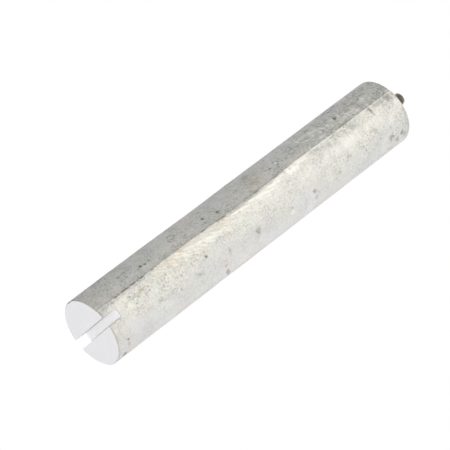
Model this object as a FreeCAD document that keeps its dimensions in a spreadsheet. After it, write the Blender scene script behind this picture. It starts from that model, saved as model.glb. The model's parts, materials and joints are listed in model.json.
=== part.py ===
import FreeCAD, Part

import os
import Sketcher

# Sacrificial anode rod for a water heater.
#
# A round bar of magnesium, cast in a split mould, with a short threaded steel stud cast into its top end.
# The bottom end is sawn off square and has one straight saw slot across it, for turning the rod in by its
# stud. The bar stands on the slotted end: the origin is the middle of that end, +Z runs up the bar to the
# stud, and +X runs along the slot.

os.makedirs("parts", exist_ok=True)
doc = FreeCAD.newDocument("AnodeRod")

# Sizes, in millimetres and degrees
DIMENSIONS = {
    # Cast bar
    "bar_diameter": 26.0,
    "bar_length": 150.0,
    "top_edge_radius": 0.8,
    "foot_edge": 0.25,
    # Split mould: its halves closed a little out of line, along a parting plane turned from +X
    "mould_shift": 0.3,
    "parting_angle": -19.5,
    # Flat filed on the proud edge of the parting line, running out towards the top
    "flat_start": 26.0,
    "flat_length": 84.0,
    "flat_depth": 0.25,
    "flat_turn": 9.5,
    # Saw slot, a little beside the middle. Its floor climbs by slot_climb over a bar's width, towards +X.
    "slot_width": 3.8,
    "slot_depth": 5.5,
    "slot_corner_radius": 0.9,
    "slot_climb": 1.0,
    "slot_offset": 0.4,
    # Stud: its thread, to the outside, and the thicker root that is cast in
    "thread_diameter": 5.0,
    "thread_reach": 10.0,
    "thread_chamfer": 0.6,
    "root_diameter": 6.0,
    "root_length": 20.0,
}

sheet = doc.addObject("Spreadsheet::Sheet", "Sizes")
for row, (name, value) in enumerate(DIMENSIONS.items(), start=1):
    sheet.set(f"A{row}", name)
    sheet.set(f"B{row}", str(value))
    sheet.setAlias(f"B{row}", name)
doc.recompute()

# The ends and middle of a sketch's edges, and a sketch's own axes and origin
START, END, MIDDLE = range(1, 4)
LEVEL_AXIS, UPRIGHT_AXIS = range(-1, -3, -1)
ORIGIN = (LEVEL_AXIS, START)

UPRIGHT = FreeCAD.Vector(0, 1, 0)
LEFTWARD = FreeCAD.Vector(-1, 0, 0)
OUTWARD = FreeCAD.Vector(0, 0, 1)


def size(name):
    """A size as it stands in the sheet."""
    return float(sheet.get(name))


def new_body(name):
    body = doc.addObject("PartDesign::Body", name)
    body.Label = name
    return body


def new_sketch(body, name, plane):
    """An empty sketch on one of the body's own origin planes."""
    sketch = body.newObject("Sketcher::SketchObject", name)
    face = next(item for item in body.Origin.OriginFeatures if item.Role == plane)
    sketch.AttachmentSupport = (face, "")
    sketch.MapMode = "FlatFace"
    return sketch


def turn_sketch(sketch, axis, angle):
    """Turns a sketch about a line through its origin, by an angle worked out from the sheet."""
    sketch.AttachmentOffset = FreeCAD.Placement(FreeCAD.Vector(), FreeCAD.Rotation(axis, 1))
    sketch.setExpression("AttachmentOffset.Rotation.Angle", angle)


def hold(sketch, kind, *elements):
    sketch.addConstraint(Sketcher.Constraint(kind, *elements))


def outline(sketch, corners, level=(), plumb=()):
    """Straight edges from corner to corner and back to the first, some of them held level or plumb."""
    points = [FreeCAD.Vector(across, up, 0) for across, up in corners]
    count = len(points)
    for index in range(count):
        sketch.addGeometry(Part.LineSegment(points[index], points[(index + 1) % count]))
    for index in range(count):
        hold(sketch, "Coincident", index, END, (index + 1) % count, START)
    for index in level:
        hold(sketch, "Horizontal", index)
    for index in plumb:
        hold(sketch, "Vertical", index)


def dimension(sketch, label, kind, elements, expression):
    """A named dimension of a sketch, tied to the sizes in the sheet."""
    value = float(sketch.evalExpression(expression))
    index = sketch.addConstraint(Sketcher.Constraint(kind, *elements, value))
    sketch.renameConstraint(index, label)
    sketch.setExpression(f"Constraints.{label}", expression)


def revolve(body, name, sketch, axis, angle):
    turned = body.newObject("PartDesign::Revolution", name)
    turned.Profile = sketch
    turned.ReferenceAxis = (sketch, [axis])
    turned.Angle = angle
    doc.recompute()
    print(f"{name} brings the body to {body.Shape.Volume:.1f} cubic mm")


def pocket(body, name, sketch, length, side="One side"):
    """A cut that has to take something off the body."""
    before = body.Shape.Volume
    cut = body.newObject("PartDesign::Pocket", name)
    cut.Profile = sketch
    cut.SideType = side
    cut.setExpression("Length", length)
    doc.recompute()
    removed = before - body.Shape.Volume
    if removed <= 0:
        raise RuntimeError(f"{name} cuts nothing")
    print(f"{name} takes off {removed:.1f} cubic mm")


# The anode is one casting, built as its mould makes it: two half rounds that meet on the parting plane. They
# are slid along it in opposite ways, so each stands proud of the other by a small straight ledge.
anode_body = new_body("anode_body")


def mould_half(name, side):
    """Half a turn of the bar's profile about the axis of one mould half, on side +1 or -1 of the bar."""
    AXIS, TOP_END, WALL, FOOT_EDGE, BOTTOM_END = range(5)
    axis = side * size("mould_shift") / 2
    wall = axis + side * size("bar_diameter") / 2
    top, foot_edge = size("bar_length"), size("foot_edge")
    profile = new_sketch(anode_body, f"{name}Profile", "XZ_Plane")
    turn_sketch(profile, UPRIGHT, "Sizes.parting_angle")
    corners = [(axis, 0), (axis, top), (wall, top), (wall, foot_edge), (wall - side * foot_edge, 0)]
    outline(profile, corners, level=(TOP_END, BOTTOM_END), plumb=(AXIS, WALL))
    hold(profile, "PointOnObject", AXIS, START, LEVEL_AXIS)
    slide = ORIGIN + (AXIS, START) if side > 0 else (AXIS, START) + ORIGIN
    dimension(profile, "slide", "DistanceX", slide, "Sizes.mould_shift / 2")
    reach = (TOP_END, START, TOP_END, END) if side > 0 else (TOP_END, END, TOP_END, START)
    dimension(profile, "bar_radius", "DistanceX", reach, "Sizes.bar_diameter / 2")
    dimension(profile, "bar_length", "DistanceY", (AXIS, START, AXIS, END), "Sizes.bar_length")
    inwards = (FOOT_EDGE, END, FOOT_EDGE, START) if side > 0 else (FOOT_EDGE, START, FOOT_EDGE, END)
    dimension(profile, "foot_edge_across", "DistanceX", inwards, "Sizes.foot_edge")
    dimension(profile, "foot_edge_up", "DistanceY", (FOOT_EDGE, END, FOOT_EDGE, START), "Sizes.foot_edge")

    rounding = len(profile.Geometry)
    radius = size("top_edge_radius")
    on_top = FreeCAD.Vector(wall - side * radius, top, 0)
    on_wall = FreeCAD.Vector(wall, top - radius, 0)
    profile.fillet(TOP_END, WALL, on_top, on_wall, radius, True, True)
    dimension(profile, "top_edge_radius", "Radius", (rounding,), "Sizes.top_edge_radius")

    bottom_centre, top_centre = FreeCAD.Vector(axis, 0, 0), FreeCAD.Vector(axis, top, 0)
    centre_line = profile.addGeometry(Part.LineSegment(bottom_centre, top_centre), True)
    hold(profile, "Coincident", centre_line, START, AXIS, START)
    hold(profile, "Coincident", centre_line, END, AXIS, END)
    revolve(anode_body, name, profile, "Axis0", 180)


mould_half("LeadingHalf", +1)
mould_half("TrailingHalf", -1)

# The filed flat is the slant of a thin wedge, cut right across the bar and tapering upwards to nothing
FOOT, BACK, HEAD, SLANT = range(4)
bar_face = (size("bar_diameter") + size("mould_shift")) / 2
depth, start, end = size("flat_depth"), size("flat_start"), size("flat_start") + size("flat_length")
flat = new_sketch(anode_body, "FlatProfile", "XZ_Plane")
turn_sketch(flat, UPRIGHT, "Sizes.parting_angle + Sizes.flat_turn")
wedge = [(bar_face - depth, start), (bar_face + depth, start), (bar_face + depth, end), (bar_face, end)]
outline(flat, wedge, level=(FOOT, HEAD), plumb=(BACK,))
dimension(flat, "bar_face", "DistanceX", ORIGIN + (HEAD, END), "(Sizes.bar_diameter + Sizes.mould_shift) / 2")
dimension(flat, "head_width", "DistanceX", (HEAD, END, HEAD, START), "Sizes.flat_depth")
dimension(flat, "foot_width", "DistanceX", (FOOT, START, FOOT, END), "2 * Sizes.flat_depth")
dimension(flat, "start", "DistanceY", ORIGIN + (FOOT, START), "Sizes.flat_start")
dimension(flat, "length", "DistanceY", (BACK, START, BACK, END), "Sizes.flat_length")
pocket(anode_body, "FiledFlat", flat, "Sizes.bar_diameter", side="Symmetric")

# The saw passes right across the bottom end on a slight climb, so its profile leans back by as much. The
# profile starts below the foot, where the climbing cut still clears it, and one corner of the floor is
# rounded, as a worn blade leaves it.
MOUTH, FAR_WALL, FLOOR, NEAR_WALL = range(4)
far = size("slot_offset") + size("slot_width") / 2
near, floor, mouth = far - size("slot_width"), size("slot_depth"), -size("slot_climb")
slot = new_sketch(anode_body, "SlotProfile", "YZ_Plane")
turn_sketch(slot, LEFTWARD, "atan(Sizes.slot_climb / Sizes.bar_diameter)")
corners = [(near, mouth), (far, mouth), (far, floor), (near, floor)]
outline(slot, corners, level=(MOUTH, FLOOR), plumb=(FAR_WALL, NEAR_WALL))
dimension(slot, "far_side", "DistanceX", ORIGIN + (MOUTH, END), "Sizes.slot_offset + Sizes.slot_width / 2")
dimension(slot, "width", "DistanceX", (MOUTH, START, MOUTH, END), "Sizes.slot_width")
dimension(slot, "depth", "DistanceY", ORIGIN + (NEAR_WALL, START), "Sizes.slot_depth")
dimension(slot, "mouth", "DistanceY", (MOUTH, START) + ORIGIN, "Sizes.slot_climb")
rounding = len(slot.Geometry)
radius = size("slot_corner_radius")
on_wall, on_floor = FreeCAD.Vector(far, floor - radius, 0), FreeCAD.Vector(far - radius, floor, 0)
slot.fillet(FAR_WALL, FLOOR, on_wall, on_floor, radius, True, True)
dimension(slot, "corner_radius", "Radius", (rounding,), "Sizes.slot_corner_radius")
pocket(anode_body, "SawSlot", slot, "2 * Sizes.bar_diameter", side="Symmetric")

# The metal closes round the stud's root, so the bore is the root's own size
bore = new_sketch(anode_body, "StudBoreCircle", "XY_Plane")
bore.setExpression("AttachmentOffset.Base.z", "Sizes.bar_length")
circle = bore.addGeometry(Part.Circle(FreeCAD.Vector(), OUTWARD, size("root_diameter") / 2))
hold(bore, "Coincident", circle, MIDDLE, *ORIGIN)
dimension(bore, "root_diameter", "Diameter", (circle,), "Sizes.root_diameter")
pocket(anode_body, "StudBore", bore, "Sizes.root_length")

# The stud is turned about its own axis: a root, a shoulder flush with the casting's end, and the thread's
# outside up to a chamfered tip. It is placed where it leaves the casting.
ROOT_END, ROOT, SHOULDER, THREAD, CHAMFER, TIP, STUD_AXIS = range(7)
root_radius, root_length = size("root_diameter") / 2, size("root_length")
thread_radius, thread_reach = size("thread_diameter") / 2, size("thread_reach")
chamfer = size("thread_chamfer")
threaded_stud = new_body("threaded_stud")
threaded_stud.setExpression("Placement.Base.z", "Sizes.bar_length")
stud = new_sketch(threaded_stud, "StudProfile", "XZ_Plane")
stud_corners = [
    (0, -root_length),
    (root_radius, -root_length),
    (root_radius, 0),
    (thread_radius, 0),
    (thread_radius, thread_reach - chamfer),
    (thread_radius - chamfer, thread_reach),
    (0, thread_reach),
]
outline(stud, stud_corners, level=(ROOT_END, SHOULDER, TIP), plumb=(ROOT, THREAD, STUD_AXIS))
hold(stud, "PointOnObject", STUD_AXIS, START, UPRIGHT_AXIS)
hold(stud, "PointOnObject", SHOULDER, START, LEVEL_AXIS)
dimension(stud, "root_radius", "DistanceX", ORIGIN + (SHOULDER, START), "Sizes.root_diameter / 2")
dimension(stud, "root_length", "DistanceY", (ROOT, START, ROOT, END), "Sizes.root_length")
dimension(stud, "thread_radius", "DistanceX", ORIGIN + (SHOULDER, END), "Sizes.thread_diameter / 2")
dimension(stud, "thread_reach", "DistanceY", ORIGIN + (STUD_AXIS, START), "Sizes.thread_reach")
dimension(stud, "chamfer_across", "DistanceX", (CHAMFER, END, CHAMFER, START), "Sizes.thread_chamfer")
dimension(stud, "chamfer_along", "DistanceY", (CHAMFER, START, CHAMFER, END), "Sizes.thread_chamfer")
revolve(threaded_stud, "TurnedStud", stud, "V_Axis", 360)

# Nothing is written unless every feature and every finished piece is sound
failed = [item.Name for item in doc.Objects if "Invalid" in item.State or "Error" in item.State]
if failed:
    raise RuntimeError(f"failed features: {failed}")
sketches = doc.findObjects("Sketcher::SketchObject")
loose = [sketch.Name for sketch in sketches if not sketch.FullyConstrained]
if loose:
    raise RuntimeError(f"sketches left loose: {loose}")
for piece in (anode_body, threaded_stud):
    shape = piece.Shape
    if shape.isNull() or not shape.isValid() or len(shape.Solids) != 1:
        raise RuntimeError(f"{piece.Label} is not one sound solid")

for piece in (anode_body, threaded_stud):
    piece.Shape.exportStep(f"parts/{piece.Label}.step")
    print(f"{piece.Label}: {piece.Shape.Volume:.1f} cubic mm")
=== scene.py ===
# %% [markdown]
# # The anode rod of a water heater
#
# A sacrificial anode is a thick bar of magnesium that hangs in a water heater and is eaten away in place of
# the tank. The one made here is cast in a mould of two halves, sawn off square at one end with a screwdriver
# slot across the cut, and has a short threaded steel stud in the other end.
#
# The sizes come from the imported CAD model, which this lesson loads first and never changes. The looks are
# then modelled round it in metres, in the same frame: the bar stands on its slotted end, +Z runs up to the
# stud, and +X runs along the slot.

import json
import math

import bmesh
import bpy
import numpy as np
from mathutils import Matrix, Vector, noise

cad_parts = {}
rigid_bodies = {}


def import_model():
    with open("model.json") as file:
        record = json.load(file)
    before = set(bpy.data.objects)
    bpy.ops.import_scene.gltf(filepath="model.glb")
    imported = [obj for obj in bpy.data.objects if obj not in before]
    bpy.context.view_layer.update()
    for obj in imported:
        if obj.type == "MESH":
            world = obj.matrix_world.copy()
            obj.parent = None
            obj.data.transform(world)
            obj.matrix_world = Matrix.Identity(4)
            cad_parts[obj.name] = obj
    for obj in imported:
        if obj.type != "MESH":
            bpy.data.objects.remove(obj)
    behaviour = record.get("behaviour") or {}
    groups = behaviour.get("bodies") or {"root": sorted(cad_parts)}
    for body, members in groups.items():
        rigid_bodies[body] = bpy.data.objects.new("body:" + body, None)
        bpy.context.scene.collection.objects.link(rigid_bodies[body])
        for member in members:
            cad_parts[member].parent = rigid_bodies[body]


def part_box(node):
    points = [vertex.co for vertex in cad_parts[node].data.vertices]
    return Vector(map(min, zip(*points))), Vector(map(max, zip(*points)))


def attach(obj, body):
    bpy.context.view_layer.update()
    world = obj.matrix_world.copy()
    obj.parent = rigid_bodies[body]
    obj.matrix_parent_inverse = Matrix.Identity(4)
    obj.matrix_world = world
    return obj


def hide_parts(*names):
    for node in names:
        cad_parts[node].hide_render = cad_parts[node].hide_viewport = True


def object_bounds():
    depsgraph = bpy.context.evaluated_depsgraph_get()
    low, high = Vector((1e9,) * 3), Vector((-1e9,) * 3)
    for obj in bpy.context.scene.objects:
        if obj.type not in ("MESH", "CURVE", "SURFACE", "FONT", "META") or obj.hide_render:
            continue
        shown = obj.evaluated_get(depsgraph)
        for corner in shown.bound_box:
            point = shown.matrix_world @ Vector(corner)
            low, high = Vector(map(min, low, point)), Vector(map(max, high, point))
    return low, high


for leftover in list(bpy.data.objects):
    bpy.data.objects.remove(leftover)
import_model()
cad_low, cad_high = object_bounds()

MM = 0.001
SAME = 0.01 * MM  # places closer than this count as one
MERGE = 0.001 * MM  # points closer than this are merged
bar_low, bar_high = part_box("anode_body")
stud_low, stud_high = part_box("threaded_stud")
print("bar from", bar_low[:], "to", bar_high[:])
print("stud from", stud_low[:], "to", stud_high[:])

# %% [markdown]
# ## The camera
#
# The photograph looks along the bar from beside its slotted end, so in this frame the camera stands low and
# looks up. Its place was found by fitting a cylinder's outline and end ellipse to the picture. A long lens
# keeps the perspective as gentle as it is there. Setting the three directions of the camera outright avoids
# a guess at its roll, because the picture is turned as well as tilted.

# %% Camera at the photograph's viewing angle
LENS = 208.1
camera_at = Vector((777.206, 20.115, -401.110)) * MM
picture_right = Vector((0.394175, 0.614987, 0.682948))
looking = Vector((-0.856271, -0.024154, 0.515961))

picture_right = (picture_right - looking * picture_right.dot(looking)).normalized()
picture_up = picture_right.cross(looking)
facing = Matrix((picture_right, picture_up, -looking)).transposed()

camera_data = bpy.data.cameras.new("camera")
camera_data.lens = LENS
camera_data.sensor_width = 36
camera_data.clip_start = 0.05
camera_data.clip_end = 20
camera = bpy.data.objects.new("camera", camera_data)
camera.matrix_world = Matrix.Translation(camera_at) @ facing.to_4x4()
bpy.context.scene.collection.objects.link(camera)
bpy.context.scene.camera = camera
print("camera", round(camera_at.length, 3), "m from the foot of the bar")

# %% [markdown]
# ## Helpers for nodes and colours
#
# A material is a graph of nodes. Writing one out by hand takes three lines a node, so one small function
# adds a node, sets it up and wires its inputs. The names of all these kinds start with ShaderNode, so it
# puts that in front. Colours are given as the hex values that a colour picker shows. Those are sRGB, and
# shaders calculate in linear light, so one function converts them all.

# %% Helpers for nodes and colours
def linear(code):
    """The linear colour of an sRGB hex code such as d8d4c9."""
    parts = [int(code[i:i + 2], 16) / 255 for i in (0, 2, 4)]
    return [c / 12.92 if c <= 0.04045 else ((c + 0.055) / 1.055) ** 2.4 for c in parts] + [1.0]


def add(tree, kind, sockets=(), **settings):
    """Adds a shader node. Sockets maps an input's name or number to a value, to another node's output, or to
    another node, whose first output is then meant."""
    node = tree.nodes.new("ShaderNode" + kind)
    for name, value in settings.items():
        setattr(node, name, value)
    for name, value in dict(sockets).items():
        if isinstance(value, bpy.types.Node):
            value = value.outputs[0]
        if isinstance(value, bpy.types.NodeSocket):
            tree.links.new(value, node.inputs[name])
        else:
            node.inputs[name].default_value = value
    return node


def blank_material(name):
    """A material without nodes, and its tree."""
    material = bpy.data.materials.new(name)
    material.use_nodes = True
    material.node_tree.nodes.clear()
    return material, material.node_tree


print("mid grey 808080 is", round(linear("808080")[0], 3), "in linear light")

# %% [markdown]
# ## White surroundings
#
# The photograph is cut out on white. What the camera sees past the bar is therefore pure white, and so is
# what shiny metal mirrors. The light that falls on the bar is as strong from above and from the sides, but
# weak from below the floor. Light Path tells the two kinds of ray apart.

# %% World
ROUND_LIGHT = 1.0
LIGHT_FROM_BELOW = 0.08
HORIZON = 0.1  # how far under the level the light falls off, as a share of straight down

bpy.context.scene.view_settings.view_transform = "Standard"
world = bpy.data.worlds.new("white studio")
bpy.context.scene.world = world
world.use_nodes = True
sky = world.node_tree
sky.nodes.clear()
toward = add(sky, "SeparateXYZ", {0: add(sky, "TexCoord").outputs["Generated"]})
light = add(sky, "MapRange", {"Value": toward.outputs["Z"], "From Min": -HORIZON, "From Max": 0.0,
                              "To Min": LIGHT_FROM_BELOW, "To Max": ROUND_LIGHT})
ray = add(sky, "LightPath")
seen = add(sky, "Math", {0: ray.outputs["Is Camera Ray"], 1: ray.outputs["Is Glossy Ray"]},
           operation="MAXIMUM")
seen = add(sky, "Math", {0: seen, 1: ray.outputs["Is Transmission Ray"]}, operation="MAXIMUM")
strength = add(sky, "MapRange", {"Value": seen, "To Min": light, "To Max": 1.0})
white = add(sky, "Background", {"Color": linear("ffffff"), "Strength": strength})
add(sky, "OutputWorld", {"Surface": white})
print("light from all round", ROUND_LIGHT, "and from under the floor", LIGHT_FROM_BELOW)

# %% [markdown]
# ## Studio lamps
#
# Soft light comes from square lamps. The main one stands on the side that the photograph shows bright, and
# a smaller one under the floor lights the sawn end, which faces down. The other sides need no lamps of
# their own, since the white world reaches round the bar.

# %% Lamps
def lamp(name, at, aim, size, watts):
    """A square area lamp, with its middle at one point and its light turned to another."""
    data = bpy.data.lights.new(name, "AREA")
    data.size = size
    data.energy = watts
    made = bpy.data.objects.new(name, data)
    made.location = at
    made.rotation_mode = "QUATERNION"
    made.rotation_quaternion = (Vector(aim) - Vector(at)).to_track_quat("-Z", "Y")
    bpy.context.scene.collection.objects.link(made)


lamp("main light", at=(1.25, -0.02, 0.50), aim=(0, 0, 0.08), size=1.0, watts=1.8)
lamp("light under the floor", at=(0.04, 0.02, -0.85), aim=(0, 0, 0), size=0.2, watts=6.3)

# %% [markdown]
# ## A floor that can be looked through from below
#
# The bar stands on a pale floor. The photograph's camera is lower than that floor, so the floor shows only
# its upper side: a ray that meets it from behind goes straight on. It is a disc as wide as the bar, with
# its rim extruded and scaled out to a wide ring. The disc is paint only for the camera's own rays and clear
# to all others, so that light from below reaches the sawn end.

# %% Floor
UNDER_BAR = 13.0 * MM
FLOOR_EDGE = 2.5
FLOOR_DROP = 0.05 * MM  # keeps the floor and the bar's foot out of one plane


def edges_of(made):
    """The edges among what an operator made."""
    return [item for item in made if isinstance(item, bmesh.types.BMEdge)]


def points_of(made):
    """The points among what an operator made."""
    return [item for item in made if isinstance(item, bmesh.types.BMVert)]


disc = bmesh.new()
bmesh.ops.create_circle(disc, cap_ends=True, segments=96, radius=UNDER_BAR)
made = bmesh.ops.extrude_edge_only(disc, edges=disc.edges[:])["geom"]
wider = FLOOR_EDGE / UNDER_BAR
bmesh.ops.scale(disc, verts=points_of(made), vec=(wider, wider, 1))
bmesh.ops.translate(disc, verts=disc.verts, vec=(0, 0, -FLOOR_DROP))
for face in disc.faces:
    face.normal_update()
    if face.normal.z < 0:
        face.normal_flip()
    # the faces of the ring have four corners, and the one under the bar has many
    face.material_index = 1 if len(face.verts) > 4 else 0
floor_mesh = bpy.data.meshes.new("floor")
disc.to_mesh(floor_mesh)
disc.free()
floor = bpy.data.objects.new("floor", floor_mesh)
bpy.context.scene.collection.objects.link(floor)

for name, under_bar in (("pale studio floor", False), ("pale floor under the bar", True)):
    paint, tree = blank_material(name)
    hidden = add(tree, "NewGeometry").outputs["Backfacing"]
    if under_bar:
        ray = add(tree, "LightPath")
        others = add(tree, "Math", {0: 1.0, 1: ray.outputs["Is Camera Ray"]}, operation="SUBTRACT")
        hidden = add(tree, "Math", {0: hidden, 1: others}, operation="MAXIMUM")
    top = add(tree, "BsdfDiffuse", {"Color": linear("efefed")})
    clear = add(tree, "BsdfTransparent")
    both = add(tree, "MixShader", {0: hidden, 1: top, 2: clear})
    add(tree, "OutputMaterial", {"Surface": both})
    floor_mesh.materials.append(paint)
under_count = sum(p.material_index for p in floor_mesh.polygons)
print("floor faces", len(floor_mesh.polygons), "and under the bar", under_count)

# %% [markdown]
# ## The cast bar: two half rounds out of line
#
# The mould's two halves closed 0.3 mm out of line, so each half of the bar is a true half round about an
# axis of its own, and a small ledge runs up the bar on each side where they meet. To get exactly that, an
# upright line is cut into short pieces, given a small slanting edge at the foot and a rounded one at the
# top, and spun through half a turn about the first axis. The last line is pushed over by the shift, which
# makes the ledge, and is spun on about the second axis. Pushed back once more, it meets the first line.

# %% Sizes of the bar, as in the CAD model
RADIUS_MM = 13.0
LENGTH_MM = 150.0
RADIUS = RADIUS_MM * MM
LENGTH = LENGTH_MM * MM
SHIFT = 0.3 * MM
LINE_TURN = -19.5  # degrees round the bar to the parting line
PARTING = math.radians(LINE_TURN)
TOP_EDGE = 0.8 * MM
FOOT_EDGE = 0.25 * MM
BORE = 3.0 * MM  # its radius
ROOT_DEPTH = 20.0 * MM
CELL = 0.40 * MM  # about how long each small face of the skin is

across = Vector((math.cos(PARTING), math.sin(PARTING), 0))
bright_axis = across * SHIFT / 2
dull_axis = -bright_axis
assert abs(bar_high.z - LENGTH) < SAME
print("cells round half the bar", round(math.pi * RADIUS / CELL), "and up it", round(LENGTH / CELL))

# %% The upright line
bar = bmesh.new()
wall_at = bright_axis + across * RADIUS
foot_at = bright_axis + across * (RADIUS - FOOT_EDGE)
line = (foot_at, wall_at + Vector((0, 0, FOOT_EDGE)), wall_at + Vector((0, 0, LENGTH - TOP_EDGE)))
foot, low, high = [bmesh.ops.create_vert(bar, co=co)["vert"][0] for co in line]
bar.edges.new((foot, low))
upright = bar.edges.new((low, high))
bmesh.ops.subdivide_edges(bar, edges=[upright], cuts=round(LENGTH / CELL) - 1)
high = max(bar.verts, key=lambda v: v.co.z)
corner = high.co - across * TOP_EDGE
tangent = Vector((0, 0, 1)).cross(across)
bmesh.ops.spin(bar, geom=[high], cent=corner, axis=-tangent, angle=math.pi / 2, steps=5)
print("points in the line", len(bar.verts), "from", min(v.co.z for v in bar.verts), "to",
      max(v.co.z for v in bar.verts))

# %% Spin, push over, spin on and close
HALF_STEPS = round(math.pi * RADIUS / CELL)


def spin_half(column, axis_at):
    """Spins a column of edges half a turn about an upright axis, and gives its last column."""
    made = bmesh.ops.spin(bar, geom=column, cent=axis_at, axis=(0, 0, 1), angle=math.pi, steps=HALF_STEPS)
    return made["geom_last"]


def push_over(column, by):
    """Extrudes a column of edges sideways, and gives the new column."""
    made = bmesh.ops.extrude_edge_only(bar, edges=edges_of(column))["geom"]
    fresh = [item for item in made if not isinstance(item, bmesh.types.BMFace)]
    bmesh.ops.translate(bar, verts=points_of(fresh), vec=by)
    return fresh


first = list(bar.verts) + list(bar.edges)
column = spin_half(first, bright_axis)
column = push_over(column, -across * SHIFT)
column = spin_half(column, dull_axis)
column = push_over(column, across * SHIFT)
bmesh.ops.remove_doubles(bar, verts=bar.verts, dist=MERGE)
bmesh.ops.recalc_face_normals(bar, faces=bar.faces)
print("side", len(bar.verts), "points and", len(bar.faces), "faces")
print("open edges", sum(e.is_boundary for e in bar.edges))

# %% [markdown]
# ## Which half is which
#
# The photograph shows one half bright and smooth and the other dull and grey, with the parting line between
# them as sharp as a drawn one. Each face is given its half now, while the halves are still exact: a face on
# the side that the parting plane's normal points to belongs to the bright half. A ledge belongs to the half
# that stands proud there.

# %% Finish of each face
BRIGHT, DULL, SAWN, MILLED = range(4)
plane_normal = Vector((0, 0, 1)).cross(across)
for face in bar.faces:
    centre = face.calc_center_median()
    beyond = centre.dot(plane_normal)
    on_ledge = abs(beyond) < SAME
    proud_side = centre.dot(across) > 0
    face.material_index = BRIGHT if (proud_side if on_ledge else beyond > 0) else DULL
    face.smooth = True
print("bright faces", sum(f.material_index == BRIGHT for f in bar.faces))

# %% [markdown]
# ## Top end and bore
#
# Only the far rim of the top end shows in the photograph, so the end itself is a plain poured face. Its rim
# is extruded inwards ring by ring, as far as the root of the stud, and the last ring goes down the bore
# that the metal closed round that root. The end has the dull half's finish. The foot stays one flat face.

# %% Close the ends
TOP_RINGS = 18


def open_at(form, height):
    """The open edges of a form at one height."""
    return [e for e in form.edges if e.is_boundary and all(abs(v.co.z - height) < SAME for v in e.verts)]


foot_face = bmesh.ops.contextual_create(bar, geom=open_at(bar, 0))["faces"][0]
foot_face.material_index = SAWN
loop = open_at(bar, LENGTH)
shrink = (BORE / (RADIUS - TOP_EDGE)) ** (1 / TOP_RINGS)
for ring in range(TOP_RINGS):
    made = bmesh.ops.extrude_edge_only(bar, edges=loop)["geom"]
    bmesh.ops.scale(bar, verts=points_of(made), vec=(shrink, shrink, 1))
    loop = edges_of(made)
for v in points_of(made):
    round_off = BORE / v.co.xy.length
    v.co.x *= round_off
    v.co.y *= round_off
made = bmesh.ops.extrude_edge_only(bar, edges=loop)["geom"]
bmesh.ops.translate(bar, verts=points_of(made), vec=(0, 0, -ROOT_DEPTH))
bmesh.ops.contextual_create(bar, geom=edges_of(made))
for face in bar.faces:
    if face.calc_center_median().z > LENGTH - SAME:
        face.material_index = DULL
bmesh.ops.recalc_face_normals(bar, faces=bar.faces)
print("open edges", sum(e.is_boundary for e in bar.edges))
print("volume", round(bar.calc_volume() / MM ** 3), "mm3")

# %% [markdown]
# ## Where each point lies
#
# Everything that happened to the skin is placed by two numbers, as on an unrolled sheet: the height up the
# bar and the angle round it. Relief and stains are worked out for all points at once with arrays, and are
# written back at the end. The noise is the same on every run.

# %% Heights, angles and noise
PAST_LINE = 20  # the angles begin this many degrees past the parting line at the back
SIDE_FROM = 11.9  # points further out than this are on the side
FULL_TO, GONE_AT = 0.45, 1.1  # shares of an oval mark's reach

bar.verts.ensure_lookup_table()
skin = np.array([v.co[:] for v in bar.verts]) / MM
reach = np.hypot(skin[:, 0], skin[:, 1])
height = skin[:, 2].copy()
angle = np.degrees(np.arctan2(skin[:, 1], skin[:, 0]))
angle = (angle + 180 - LINE_TURN + PAST_LINE) % 360 - 180 + LINE_TURN - PAST_LINE
outward = skin[:, :2] / np.maximum(reach, 1e-6)[:, None]
on_side = reach > SIDE_FROM


def lumps(size_mm, seed, stretch=1.0):
    """Noise over the skin, mostly between -0.7 and 0.7, with lumps of that size, stretched up the bar."""
    shift = Vector((seed * 7.31, seed * 3.17, seed * 5.71))
    places = skin / size_mm / (1, 1, stretch)
    return np.array([noise.noise(Vector(p) + shift) for p in places])


def ramp(values, start, end):
    """0 before start, 1 after end, and a smooth rise between them."""
    t = np.clip((values - start) / (end - start), 0, 1)
    return t * t * (3 - 2 * t)


ragged = lumps(1.3, 1)
print("points on the side", int(on_side.sum()), "of", len(skin))
print("noise runs from", ragged.min().round(2), "to", ragged.max().round(2))


def spot(at, turn, long, wide, lean=0.0, rough=0.5):
    """How far each point of the side lies inside an oval mark: 1 in the middle and 0 outside it. Its middle
    is given as millimetres up the bar and degrees round it, and its lean is from upright, in degrees."""
    up = height - at
    round_bar = np.radians((angle - turn + 180) % 360 - 180) * RADIUS_MM
    c, s = math.cos(math.radians(lean)), math.sin(math.radians(lean))
    along, aside = up * c + round_bar * s, round_bar * c - up * s
    far = np.hypot(along / (long / 2), aside / (wide / 2)) + rough * ragged
    return (1 - ramp(far, FULL_TO, GONE_AT)) * on_side


# %% [markdown]
# ## Skin of the casting
#
# Metal that has frozen against a mould is never quite round. It swells and sinks a little over a few
# centimetres, and has a fine pebbled grain over a millimetre or so. A third of the way up are two shallow
# dips that the photograph's outline shows. The relief is real movement of the points of the mesh. Nearly all
# of it goes inwards from the mould's size.

# %% Swell and grain
# depth mm, size of the lumps mm, seed and stretch, from the swell to the grain
SWELLS = [(0.06, 26, 2, 1.6), (0.05, 9, 3, 1.3), (0.03, 3.2, 4, 1), (0.022, 1.4, 5, 1)]
relief = sum(depth * lumps(size, seed, stretch) for depth, size, seed, stretch in SWELLS)
relief -= 0.03  # so that few swells stand out past the mould's size
# height mm, angle, reach up and down in mm and round the bar in degrees, depth mm
DIPS = [(56, -90, 14, 45, 0.13), (52, 95, 4, 18, 0.10)]
for at, turn, up, round_bar, depth in DIPS:
    relief -= depth * np.exp(-((height - at) / up) ** 2 - ((angle - turn) / round_bar) ** 2)
print("relief from", relief.min().round(3), "to", relief.max().round(3), "mm")

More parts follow.
